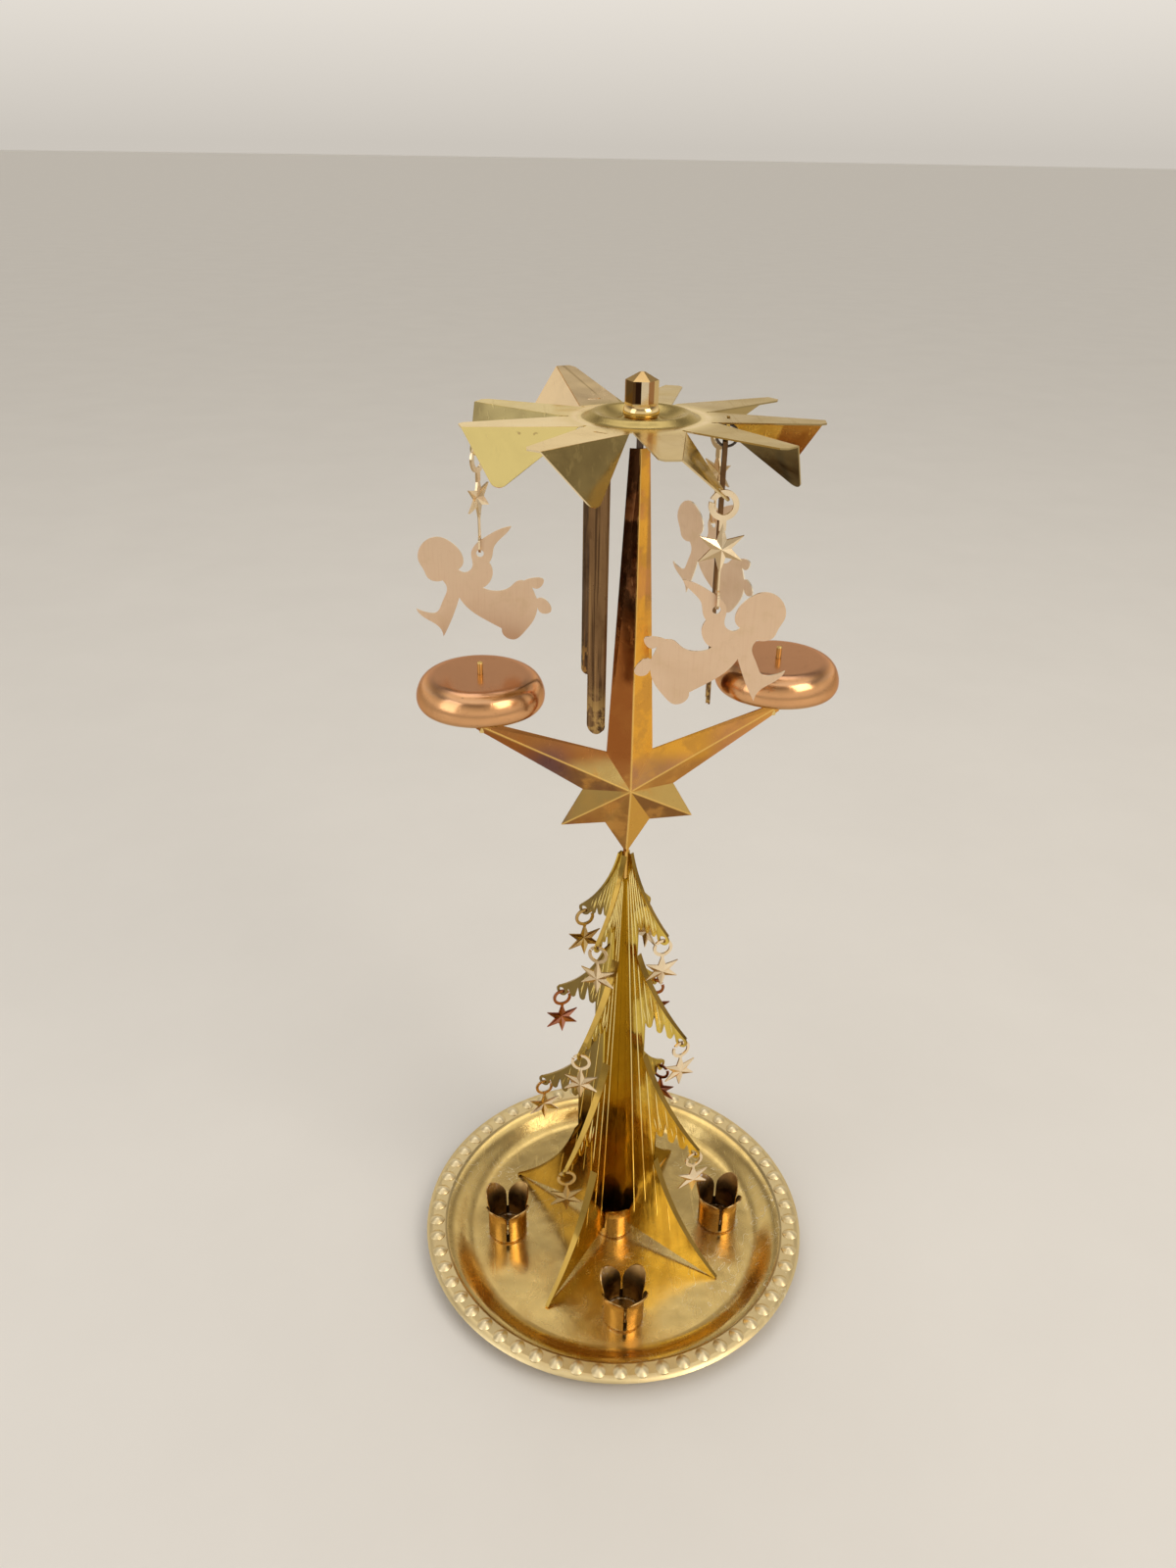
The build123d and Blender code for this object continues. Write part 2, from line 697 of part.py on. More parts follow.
def angel_stretches():
    # Outline of a flying child figure about its hanging hole, as shares of its span, facing +X.
    head = ((0.282, -0.209), (0.338, -0.216), (0.389, -0.192), (0.413, -0.14), (0.452, -0.06),
            (0.44, 0.03), (0.385, 0.092), (0.299, 0.116), (0.209, 0.079), (0.141, 0.006),
            (0.124, -0.068), (0.163, -0.124))
    shoulder = (head[-1], (0.124, -0.145), (0.079, -0.13))
    wing_front = (shoulder[-1], (0.056, -0.079), (0.065, 0.0), (0.034, 0.062), (-0.045, 0.124),
                  (-0.158, 0.186), (-0.231, 0.205))
    wing_back = (wing_front[-1], (-0.205, 0.165), (-0.158, 0.118), (-0.101, 0.045), (-0.09, -0.011),
                 (-0.064, -0.068))
    wing_lobe = (wing_back[-1], (-0.088, -0.124), (-0.078, -0.19), (-0.011, -0.259))
    back = (wing_lobe[-1], (-0.101, -0.282), (-0.214, -0.25), (-0.259, -0.209), (-0.32, -0.2))
    upper_foot = (back[-1], (-0.37, -0.18), (-0.462, -0.192), (-0.445, -0.239), (-0.374, -0.246))
    calf = (upper_foot[-1], (-0.411, -0.338))
    lower_foot = (calf[-1], (-0.457, -0.333), (-0.511, -0.437), (-0.479, -0.451), (-0.415, -0.404))
    hem = (lower_foot[-1], (-0.389, -0.496), (-0.316, -0.598), (-0.237, -0.66), (-0.169, -0.637),
           (-0.147, -0.575))
    belly = (hem[-1], (-0.045, -0.519), (0.056, -0.457), (0.163, -0.338))
    sleeve = (belly[-1], (0.225, -0.507), (0.293, -0.648))
    hand = (sleeve[-1], (0.349, -0.55), (0.428, -0.502), (0.487, -0.431))
    arm = (hand[-1], (0.395, -0.462), (0.344, -0.46), (0.29, -0.372), (0.252, -0.271), head[0])
    return (head, shoulder, wing_front, wing_back, wing_lobe, back, upper_foot, calf, lower_foot, hem,
            belly, sleeve, hand, arm)


def make_angel():
    edges = [stretch([(x * angel_span, y * angel_span) for x, y in part]) for part in angel_stretches()]
    return plate(make_face(edges) - Circle(angel_hole_radius), angel_sheet)


def make_striker():
    # A channel strip hanging from the origin, which is its hole, its open side facing inwards.
    half = striker_width / 2
    length = striker_hang(first_striker_blade)[2] - striker_drop() - bell_rim_height + striker_dip
    front = Pos(0, striker_lip / 2 - (length - half) / 2) * Rectangle(
        striker_width, length - half + striker_lip)
    front += Pos(0, half - length) * Circle(half)
    block = upright(extrude(front, amount=striker_depth / 2, both=True))
    hollow = Pos(0, striker_lip / 2 - length / 2) * Rectangle(
        striker_width - 2 * striker_sheet, length + striker_lip + overrun)
    groove = upright(extrude(hollow, amount=-striker_depth))
    groove = shifted(groove, y=-striker_depth / 2 + striker_sheet)
    hole = upright(extrude(Circle(striker_hole_radius), amount=striker_depth, both=True))
    return turned(shifted(block - groove - hole, y=striker_depth / 2 - striker_sheet / 2), 90)


def make_striker_ring():
    ring = Torus(striker_ring_radius, striker_wire_radius)
    return shifted(Rot(90, 0, 0) * ring, z=-striker_ring_radius)


def striker_hang(blade):
    # Radius, offset and height of the ring's wire where it lies on the bridge of its blade.
    radius = striker_circle_radius
    rest = bridge_depth - wheel_sheet - bridge_clearance - striker_wire_radius
    if blade == bent_blade:
        reach = radius - hub_radius
        bend = radians(bent_angle)
        radius = hub_radius + reach * cos(bend) + rest * sin(bend)
        rest = rest * cos(bend) - reach * sin(bend) - bridge_width * sin(bend) / 2
    return radius, striker_offset, wheel_height - rest


def striker_drop():
    # From the ring's wire at the top down to the middle of the striker's hole.
    slack = striker_hole_radius - striker_wire_radius - bridge_clearance / 2
    return 2 * striker_ring_radius + slack


def write(shape, name):
    export_step(shape, "parts/" + name + ".step")


# The parts in their places

write(make_tray(), "tray")

cup = shifted(make_cup(), z=tray_sheet)
rivet = make_rivet()
for side, turn in seat_turns.items():
    write(turned(shifted(cup, x=cup_circle_radius), turn), "candle_cup_" + side)
    write(turned(shifted(rivet, x=cup_circle_radius), turn), "cup_rivet_" + side)
write(turned(cup, tree_turn), "centre_socket")
write(rivet, "socket_rivet")

first_panel, second_panel = make_tree_panels()
write(first_panel, "tree_panel_first")
write(second_panel, "tree_panel_second")

# How far each tree star is turned from facing straight out, bough by bough, for each wing
ornament_turns = ((-40.0, -30.0, -35.0), (-15.0, 20.0, 10.0), (-38.0, -40.0, -40.0), (15.0, 25.0, 40.0))
ornament = make_ornament()
for wing in range(4):
    wing_turn = tree_turn + quarter_turn * wing
    for bough in range(len(bough_starts)):
        radius, height = ornament_hang(bough)
        facing = turned(ornament, quarter_turn + ornament_turns[wing][bough])
        name = "tree_star_wing{}_bough{}".format(wing + 1, bough + 1)
        write(turned(shifted(facing, x=radius, z=height), wing_turn), name)

mast_star = make_mast_star()
write(turned(mast_star, star_turn), "mast_star")
write(turned(make_needle(), star_turn), "needle")
bell = make_bell()
post = make_post(mast_star)
for side, turn in (("right", 0), ("left", 180)):
    carried = post if side == "right" else make_post(turned(mast_star, 180))
    write(turned(carried, star_turn + turn), "bell_post_" + side)
    write(turned(bell, star_turn + turn), "bell_" + side)

write(make_wheel(), "fan_wheel")
write(make_collar(), "hub_collar")
write(turned(make_cap(), wheel_turn), "hub_cap")

angel = make_angel()
for index, facing in enumerate(angel_facings):
    blade = first_angel_blade + 3 * index
    radius, offset, height = link_hang()
    place = Rot(0, 0, blade_turn(blade)) * Location((radius, offset, height))
    eye_turn = facing - blade_turn(blade)
    write(place * turned(make_link(eye_turn), quarter_turn), "star_link_" + str(index + 1))
    figure = shifted(turned(angel, facing - blade_turn(blade)), z=-link_length - angel_drop)
    write(place * figure, "angel_" + str(index + 1))

striker = make_striker()
for index in range(3):
    blade = first_striker_blade + 3 * index
    radius, offset, height = striker_hang(blade)
    place = Rot(0, 0, blade_turn(blade)) * Location((radius, offset, height))
    write(place * make_striker_ring(), "striker_ring_" + str(index + 1))
    write(place * shifted(striker, z=-striker_drop()), "striker_" + str(index + 1))
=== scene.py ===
import json
import math

import bmesh
import bpy
from mathutils import Matrix, Vector
from mathutils.bvhtree import BVHTree


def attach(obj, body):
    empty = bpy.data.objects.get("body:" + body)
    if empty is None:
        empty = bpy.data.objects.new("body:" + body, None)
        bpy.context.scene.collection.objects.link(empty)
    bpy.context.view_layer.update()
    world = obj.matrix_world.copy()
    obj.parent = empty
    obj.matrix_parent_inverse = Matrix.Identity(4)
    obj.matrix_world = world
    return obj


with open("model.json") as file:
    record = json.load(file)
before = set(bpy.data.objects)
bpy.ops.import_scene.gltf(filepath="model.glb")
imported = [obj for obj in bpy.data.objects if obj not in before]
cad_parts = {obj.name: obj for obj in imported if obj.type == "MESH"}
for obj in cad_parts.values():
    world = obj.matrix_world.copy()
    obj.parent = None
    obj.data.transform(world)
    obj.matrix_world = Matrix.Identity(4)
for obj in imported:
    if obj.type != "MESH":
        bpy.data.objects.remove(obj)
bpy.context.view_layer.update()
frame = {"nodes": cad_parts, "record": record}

# Camera, at the photograph's place and angle
camera_place = (-0.034825, -0.297917, 0.34515)
camera_heading = -4.444
camera_tilt = 61.5
camera_roll = 0.941
camera_lens = 27
sensor_side = 36
clip_near = 0.01
clip_far = 100

# Places on the object, in metres and degrees
cup_places = {
    "front": (0.0, -0.038), "right": (0.038, 0.0), "back": (0.0, 0.038), "left": (-0.038, 0.0),
}
tray_top = 0.0070
tree_turn = -37.4
tree_apex = 0.172
tree_surface = 0.00025
bough_ends = ((0.0143, 0.1334), (0.0228, 0.0974), (0.0303, 0.0538))
star_turn = 5.7
star_height = 0.1822
arm_angle = 27.7
point_angle = 30
angel_facings = {"angel_1": 120.0, "angel_2": 175.0, "angel_3": 0.0}
flange_step = 0.0599
bowl_step = 0.0497
cup_foot_radius = 0.0068
pressed_ring = 0.0166

# Where one finish goes over into another, as the radii or heights where that starts and ends
flange_satin = (0.0590, 0.0604)
tree_foot = (0.035, 0.004)
mast_over_star = (0.006, 0.012)
wheel_strips = (0.016, 0.022)
wheel_dish = (0.0152, 0.0146)
flap_ends = (0.0375, 0.0385)
cap_sides = (0.2895, 0.2900)
bell_rim = (0.2122, 0.2116)
petal_tips = (0.0125, 0.0165)
striker_end = (0.224, 0.212)

# Beads pressed up out of the tray's flange; rings and taper are shares of the bead's half length
bead_count = 58
bead_radius = 0.0631
bead_half_length = 0.0025
bead_half_width = 0.0025
bead_rise = 0.00095
bead_swell = 1.3
bead_rings = (0.2, 0.4, 0.6, 0.75, 0.88, 1.0, 1.06)
bead_sides = 16
bead_taper = 0.22
bead_sink = 0.00002
edge_sink = 0.00003
skirt_sink = 0.0002

# Lines pressed into the tree: the section in shares of half width and rise, then the long lines
# that fan out from the top, then the short strokes down into the fringes
rib_section = ((-1.0, 0.0), (-0.45, 0.8), (0.0, 1.0), (0.45, 0.8), (1.0, 0.0))
rib_rise = 0.00020
rib_sink = 0.00003
rib_end_share = 0.15
rib_end_steps = 2
rib_least_points = 3
long_count = 10
long_step = 0.0012
long_half = 0.00026
long_first_slope = 0.055
long_slope_step = 0.0305
long_foot = 0.012
long_foot_step = 0.004
long_top = 0.156
stroke_starts = (0.0055, 0.0094, 0.0155)
stroke_count = 7
stroke_step = 0.001
stroke_half = 0.00022
stroke_drop = 0.003
stroke_lean = 0.28

# How the flat face of a panel is looked for under a line
probe_reach = 0.004
probe_margin = 0.0005
probe_slack = 0.00008

# The studio: floor, lamps (name, place, aim, sides, watts, colour) and the room's tones, each at a
# height between the horizon, 0, and straight up, 1
floor_radius = 40
floor_sides = 64
lamps = (
    ("key", (0.75, -0.75, 1.0), (0, 0, 0.15), (0.7, 0.7), 6.5, (1.0, 0.91, 0.80)),
    ("fill", (-0.9, -0.5, 0.7), (0, 0, 0.15), (0.6, 0.9), 2.2, (0.95, 0.96, 1.0)),
    ("top", (0.0, 0.5, 1.3), (0, 0, 0.1), (0.9, 0.6), 1.2, (1.0, 0.96, 0.90)),
)
room_tones = (
    (0.0, 0.60, 0.56, 0.505), (0.12, 0.84, 0.79, 0.72), (0.23, 0.84, 0.78, 0.69),
    (0.50, 0.50, 0.46, 0.40), (0.62, 0.24, 0.21, 0.18), (0.74, 0.34, 0.30, 0.26),
    (0.84, 0.96, 0.90, 0.81), (1.0, 0.84, 0.79, 0.71),
)


def turn(axis, degrees):
    return Matrix.Rotation(math.radians(degrees), 4, axis)


def make_camera():
    data = bpy.data.cameras.new("camera")
    data.lens = camera_lens
    data.sensor_width = sensor_side
    data.clip_start = clip_near
    data.clip_end = clip_far
    camera = bpy.data.objects.new("camera", data)
    bpy.context.collection.objects.link(camera)
    heading, tilt, roll = turn("Z", camera_heading), turn("X", camera_tilt), turn("Z", camera_roll)
    camera.matrix_world = Matrix.Translation(camera_place) @ heading @ tilt @ roll
    bpy.context.scene.camera = camera


class Graph:
    """One material's node tree, with short calls for the nodes that the finishes use."""

    def __init__(self, name):
        self.material = bpy.data.materials.new(name)
        self.material.use_nodes = True
        self.tree = self.material.node_tree
        self.shader = self.tree.nodes["Principled BSDF"]
        self.place = self.add("ShaderNodeTexCoord").outputs["Object"]

    def add(self, kind, **settings):
        node = self.tree.nodes.new(kind)
        for key, value in settings.items():
            setattr(node, key, value)
        return node

    def feed(self, socket, value):
        if isinstance(value, bpy.types.NodeSocket):
            self.tree.links.new(value, socket)
        else:
            socket.default_value = value

    def maths(self, operation, *values):
        node = self.add("ShaderNodeMath", operation=operation)
        for socket, value in zip(node.inputs, values):
            self.feed(socket, value)
        return node.outputs[0]

    def times(self, first, second):
        return self.maths("MULTIPLY", first, second)

    def stretch(self, scale, turned=(0, 0, 0)):
        """The point in turned and scaled axes."""
        node = self.add("ShaderNodeMapping")
        self.feed(node.inputs["Vector"], self.place)
        node.inputs["Scale"].default_value = scale
        node.inputs["Rotation"].default_value = turned
        return node.outputs[0]

    def noise(self, scale, detail=4, rough=0.55, bend=0.0, place=None):
        node = self.add("ShaderNodeTexNoise")
        self.feed(node.inputs["Vector"], self.place if place is None else place)
        self.feed(node.inputs["Scale"], scale)
        self.feed(node.inputs["Detail"], detail)
        self.feed(node.inputs["Roughness"], rough)
        self.feed(node.inputs["Distortion"], bend)
        return node.outputs["Fac"]

    def sectors(self, bearing, steps):
        """A colour for each sector of the bearing, in degrees, that starts at the step's own."""
        node = self.add("ShaderNodeValToRGB")
        onwards = self.maths("ADD", bearing, 180.0)
        self.feed(node.inputs["Fac"], self.maths("DIVIDE", onwards, 360.0))
        ramp = node.color_ramp
        ramp.interpolation = "CONSTANT"
        while len(ramp.elements) < len(steps):
            ramp.elements.new(0.5)
        for element, (start, *colour) in zip(ramp.elements, steps):
            element.position = (start + 180) / 360
            element.color = (*colour, 1)
        return node.outputs[0]

    def between(self, value, start, end, low=0.0, high=1.0):
        """Goes smoothly from low to high while the value goes from start to end."""
        node = self.add("ShaderNodeMapRange", interpolation_type="SMOOTHSTEP")
        for socket, given in zip(node.inputs, (value, start, end, low, high)):
            self.feed(socket, given)
        return node.outputs[0]

    def colour(self, share, first, second):
        node = self.add("ShaderNodeMix", data_type="RGBA")
        self.feed(node.inputs[0], share)
        for socket, given in zip(node.inputs[6:8], (first, second)):
            self.feed(socket, given if isinstance(given, bpy.types.NodeSocket) else (*given, 1))
        return node.outputs[2]

    def bump(self, height, strength, distance, before=None):
        node = self.add("ShaderNodeBump")
        self.feed(node.inputs["Height"], height)
        node.inputs["Strength"].default_value = strength
        node.inputs["Distance"].default_value = distance
        if before is not None:
            self.feed(node.inputs["Normal"], before)
        return node.outputs[0]

    def apart(self, vector):
        node = self.add("ShaderNodeSeparateXYZ")
        self.feed(node.inputs[0], vector)
        return node.outputs[0], node.outputs[1], node.outputs[2]

    def corners(self, turned=0.0):
        """X, Y and Z of the point, about axes turned round Z by degrees."""
        if not turned:
            return self.apart(self.place)
        return self.apart(self.stretch((1, 1, 1), (0, 0, -math.radians(turned))))

    def facing(self, direction):
        """How squarely the surface faces a direction of the object, from -1 to 1."""
        normal = self.add("ShaderNodeNewGeometry").outputs["Normal"]
        own = self.add("ShaderNodeVectorTransform", vector_type="NORMAL",
                       convert_from="WORLD", convert_to="OBJECT")
        self.feed(own.inputs[0], normal)
        node = self.add("ShaderNodeVectorMath", operation="DOT_PRODUCT")
        self.feed(node.inputs[0], own.outputs[0])
        node.inputs[1].default_value = direction
        return node.outputs["Value"]

    def distance(self, centre):
        """Distance from an upright axis through the centre."""
        x, y, _ = self.corners()
        across = self.maths("SUBTRACT", x, centre[0])
        along = self.maths("SUBTRACT", y, centre[1])
        square = self.maths("ADD", self.times(across, across), self.times(along, along))
        return self.maths("SQRT", square)

    def bearing(self, centre=(0.0, 0.0)):
        """Direction from an upright axis through the centre, in degrees from -180 to 180."""
        x, y, _ = self.corners()
        across = self.maths("SUBTRACT", x, centre[0])
        along = self.maths("SUBTRACT", y, centre[1])
        return self.maths("DEGREES", self.maths("ARCTAN2", along, across))

    def line(self, value):
        """A place that changes with one value alone."""
        node = self.add("ShaderNodeCombineXYZ")
        self.feed(node.inputs[0], value)
        return node.outputs[0]

    def near(self, value, middle, reach):
        """1 where the value is at the middle, down to 0 at the reach to either side."""
        off = self.maths("ABSOLUTE", self.maths("SUBTRACT", value, middle))
        return self.between(off, 0.0, reach, 1.0, 0.0)

    def paint(self, share, colour):
        """Lays a colour over the base colour that the shader has so far."""
        socket = self.shader.inputs["Base Color"]
        under = socket.links[0].from_socket
        self.feed(socket, self.colour(share, under, colour))

    def roughen(self, share, amount):
        socket = self.shader.inputs["Roughness"]
        under = socket.links[0].from_socket
        raised = self.maths("ADD", under, self.times(share, amount))
        self.feed(socket, self.maths("MINIMUM", self.maths("MAXIMUM", raised, 0.05), 0.95))

    def emboss(self, height, strength, distance):
        socket = self.shader.inputs["Normal"]
        self.feed(socket, self.bump(height, strength, distance, socket.links[0].from_socket))


def scratches(graph, scale, turned, threshold=0.62):
    """Fine marks that run one way, from noise drawn out along one axis."""
    drawn_out = graph.stretch((scale, scale * 0.04, scale * 0.3), turned)
    marks = graph.noise(1.0, detail=3, rough=0.6, place=drawn_out)
    return graph.between(marks, threshold, threshold + 0.05)


def metal(name, bright, tarnish, rough=0.2, rough_spread=0.14, tarnish_amount=0.5,
          waviness=0.4, scratch=0.5):
    """Sheet metal that has been polished once and handled since."""
    graph = Graph(name)
    cloud = graph.noise(45, detail=5, rough=0.6, bend=0.6)
    clouded = graph.between(cloud, 0.42, 0.72)
    specks = graph.between(graph.noise(900, detail=2, rough=0.5), 0.66, 0.76)
    blotches = graph.between(graph.noise(170, detail=4, rough=0.65), 0.58, 0.72)
    stained = graph.maths("MAXIMUM", graph.times(blotches, 0.55), graph.times(specks, 0.5))
    worn = graph.times(graph.maths("MAXIMUM", clouded, stained), tarnish_amount)
    graph.feed(graph.shader.inputs["Base Color"], graph.colour(worn, bright, tarnish))
    long_marks = scratches(graph, 900, (0.3, 0.2, 0.5))
    cross_marks = scratches(graph, 700, (0.1, 0.9, 2.1), 0.64)
    marks = graph.times(graph.maths("MAXIMUM", long_marks, cross_marks), scratch)
    grime = graph.noise(80, detail=6, rough=0.7, bend=1.2)
    smear = graph.between(grime, 0.35, 0.75, rough, rough + rough_spread)
    dulled = graph.maths("ADD", smear, graph.times(worn, 0.12))
    roughness = graph.maths("ADD", dulled, graph.times(marks, 0.12))
    graph.feed(graph.shader.inputs["Roughness"], roughness)
    graph.shader.inputs["Metallic"].default_value = 1.0
    tint = [0.4 + 0.6 * part for part in bright]
    graph.shader.inputs["Specular Tint"].default_value = (*tint, 1)
    waves = graph.bump(graph.noise(60, detail=2, rough=0.4), waviness, 0.0012)
    fine = graph.bump(graph.times(marks, -1.0), 0.25, 0.00006, waves)
    graph.feed(graph.shader.inputs["Normal"], fine)
    return graph


def tray_finish():
    """Satin brass with turning marks, curved scratches, and a painted shade line at the flange's
    step.
    """
    graph = metal("tray_brass", (0.78, 0.58, 0.23), (0.52, 0.35, 0.12), 0.17, 0.13, 0.55, 0.3, 0.6)
    radius = graph.distance((0.0, 0.0))
    graph.emboss(graph.noise(2600, detail=2, rough=0.5, place=graph.line(radius)), 0.12, 0.00003)
    satin = graph.between(radius, *flange_satin)
    graph.roughen(satin, 0.16)
    graph.paint(graph.times(satin, 0.6), (0.80, 0.68, 0.42))
    # painted shade: a dark line along the flange's step
    graph.paint(graph.times(graph.near(radius, flange_step, 0.0005), 0.6), (0.30, 0.22, 0.10))
    graph.roughen(graph.near(radius, bowl_step, 0.0035), 0.10)
    swirl = graph.noise(55, detail=2, rough=0.4, bend=3.5)
    curved = graph.near(swirl, 0.5, 0.006)
    patches = graph.between(graph.noise(30, detail=3), 0.5, 0.62)
    worn_place = graph.between(graph.distance((0.036, -0.026)), 0.022, 0.010)
    marks = graph.times(curved, graph.maths("MAXIMUM", patches, worn_place))
    graph.paint(graph.times(marks, 0.85), (1.0, 0.94, 0.76))
    graph.roughen(marks, 0.25)
    dusty = graph.between(graph.noise(1400, detail=2), 0.69, 0.74)
    graph.paint(graph.times(dusty, 0.5), (0.92, 0.88, 0.78))
    for place in list(cup_places.values()) + [(0.0, 0.0)]:
        foot = graph.near(graph.distance(place), cup_foot_radius, 0.0016)
        broken = graph.between(graph.noise(700, detail=3), 0.42, 0.6)
        graph.paint(graph.times(foot, graph.times(broken, 0.5)), (0.82, 0.76, 0.66))
    return graph


def bead_finish():
    """The flange's satin, painted paler on the crests as a painted highlight."""
    graph = metal("bead_brass", (0.84, 0.70, 0.42), (0.62, 0.49, 0.24), 0.32, 0.10, 0.5, 0.1, 0.4)
    crest_highlight = graph.between(graph.corners()[2], tray_top + 0.0003, tray_top + 0.0008)
    # painted highlight: a paler colour on the bead crests, by height
    graph.paint(graph.times(crest_highlight, 0.5), (0.95, 0.84, 0.58))
    return graph


def tree_finish():
    """Yellow lacquered brass in bands that fan out from the top, with painted shade on the far and
    left wings, on faces turned to the right and on the folded edges, which face up."""
    graph = metal("tree_gold", (0.82, 0.60, 0.12), (0.56, 0.37, 0.06), 0.10, 0.10, 0.5, 0.5, 0.4)
    radius = graph.distance((0.0, 0.0))
    x, y, height = graph.corners()
    spread = graph.maths("DIVIDE", radius, graph.maths("SUBTRACT", tree_apex, height))
    bands = graph.noise(1.0, detail=2, place=graph.line(graph.times(spread, 26.0)))
    deeper = graph.between(bands, 0.42, 0.62)
    graph.paint(graph.times(deeper, 0.6), (0.42, 0.27, 0.05))
    # painted shade: darker on the far and left wings
    shaded = graph.between(graph.maths("SUBTRACT", y, graph.times(x, 1.2)), 0.001, 0.014)
    graph.paint(graph.times(shaded, 0.9), (0.20, 0.135, 0.05))
    graph.emboss(graph.between(bands, 0.3, 0.7), 0.15, 0.0002)
    low = graph.between(height, *tree_foot)
    graph.paint(graph.times(low, 0.35), (0.90, 0.66, 0.18))
    # painted shade: darker on faces turned to the right and front
    right_facing_shade = graph.between(graph.facing((0.794, -0.607, 0.0)), 0.4, 0.7)
    graph.paint(graph.times(right_facing_shade, 0.7), (0.32, 0.21, 0.06))
    # painted shade: darker on the folded edges, which face up
    upward_fold_shade = graph.between(graph.facing((0, 0, 1)), 0.05, 0.15)
    graph.paint(graph.times(upward_fold_shade, 0.85), (0.27, 0.16, 0.035))
    return graph


def rib_highlight_finish():
    """The crests of the pressed lines, painted brighter than the sheet as a painted highlight."""
    return metal("rib_highlight_brass", (0.98, 0.84, 0.36), (0.80, 0.60, 0.18), 0.16, 0.10, 0.35, 0.2, 0.3)


def mast_finish():
    """Heat-tarnished brass with painted light and shade: each facet of the star in its own brown
    or gold, the mast dark on its left and bright on its right, the ridges painted bright.
    """
    graph = metal("mast_copper", (0.58, 0.34, 0.09), (0.32, 0.15, 0.04), 0.14, 0.14, 0.6, 0.5, 0.7)
    x, _, z = graph.corners(star_turn)
    up = graph.maths("SUBTRACT", z, star_height)
    side = graph.maths("ABSOLUTE", x)
    round_star = graph.maths("DEGREES", graph.maths("ARCTAN2", up, x))
    # facet tones: partly heat tarnish, partly painted light and shade on each facet
    facets = graph.sectors(round_star, (
        (-180, 0.42, 0.28, 0.09), (-150, 0.38, 0.17, 0.05), (-120, 0.32, 0.15, 0.04),
        (-90, 0.66, 0.36, 0.07), (-60, 0.26, 0.12, 0.04), (-30, 0.58, 0.40, 0.13),
        (0, 0.50, 0.23, 0.06), (arm_angle, 0.50, 0.23, 0.12),
        (90, 0.40, 0.15, 0.04), (120, 0.58, 0.43, 0.16), (180 - arm_angle, 0.24, 0.11, 0.045)))
    spread = graph.between(graph.noise(70, detail=4, rough=0.6), 0.30, 0.55, 0.5, 0.95)
    graph.paint(spread, facets)
    glow = graph.times(graph.between(graph.noise(130, detail=4), 0.5, 0.64), 0.55)
    graph.paint(glow, (0.66, 0.33, 0.08))
    on_mast = graph.between(up, *mast_over_star)
    left = graph.between(x, 0.0001, -0.0002)
    right = graph.maths("SUBTRACT", 1.0, left)
    # painted shade on the mast's left half and a bright orange painted highlight on its right half
    graph.paint(graph.times(on_mast, graph.times(left, 0.85)), (0.34, 0.11, 0.025))
    graph.paint(graph.times(on_mast, graph.times(right, 0.85)), (0.92, 0.46, 0.05))
    dulled = graph.times(graph.between(graph.noise(95, detail=5, rough=0.6), 0.48, 0.58), on_mast)
    graph.paint(graph.times(dulled, graph.times(right, 0.55)), (0.55, 0.27, 0.06))
    wander = graph.maths("ADD", z, graph.times(graph.noise(110, detail=3), 0.030))
    high = graph.between(wander, 0.240, 0.256)
    # painted shade: near black on the upper mast's left side
    graph.paint(graph.times(high, graph.times(left, 0.9)), (0.055, 0.025, 0.012))
    # painted shade: darker towards the upper mast's right edge
    edge = graph.times(graph.between(x, 0.0022, 0.0030), on_mast)
    graph.paint(graph.times(graph.times(edge, high), 0.7), (0.36, 0.18, 0.07))
    copper = graph.times(graph.between(graph.noise(120, detail=4), 0.5, 0.62), high)
    graph.paint(graph.times(copper, 0.55), (0.62, 0.26, 0.10))
    shifted = graph.maths("ADD", x, graph.times(graph.noise(90, detail=3), 0.006))
    burnt = graph.near(shifted, -0.021, 0.010)
    graph.paint(graph.times(burnt, graph.times(graph.between(up, 0.018, 0.010), 0.9)),
                (0.16, 0.08, 0.08))
    rosy = graph.times(graph.between(x, 0.020, 0.030), graph.between(up, 0.030, 0.012))
    graph.paint(graph.times(rosy, 0.7), (0.50, 0.22, 0.13))
    slope = math.radians(arm_angle)
    on_arm = graph.maths("ABSOLUTE", graph.maths("SUBTRACT", graph.times(up, math.cos(slope)),
                                             graph.times(side, math.sin(slope))))
    beyond = graph.between(side, 0.0, 0.001)
    lines = [graph.times(graph.between(on_arm, 0.0001, 0.0004, 1.0, 0.0), beyond),
             graph.between(side, 0.0001, 0.0004, 1.0, 0.0)]
    low = math.radians(point_angle)
    on_point = graph.maths("ABSOLUTE", graph.maths("ADD", graph.times(up, math.cos(low)),
                                               graph.times(side, math.sin(low))))
    lines.append(graph.between(on_point, 0.0001, 0.0004, 1.0, 0.0))
    ridge_highlight = graph.maths("MAXIMUM", graph.maths("MAXIMUM", lines[0], lines[1]), lines[2])
    # painted highlight: bright lines along the star's ridges and down its middle
    graph.paint(graph.times(ridge_highlight, 0.7), (0.96, 0.62, 0.18))
    return graph


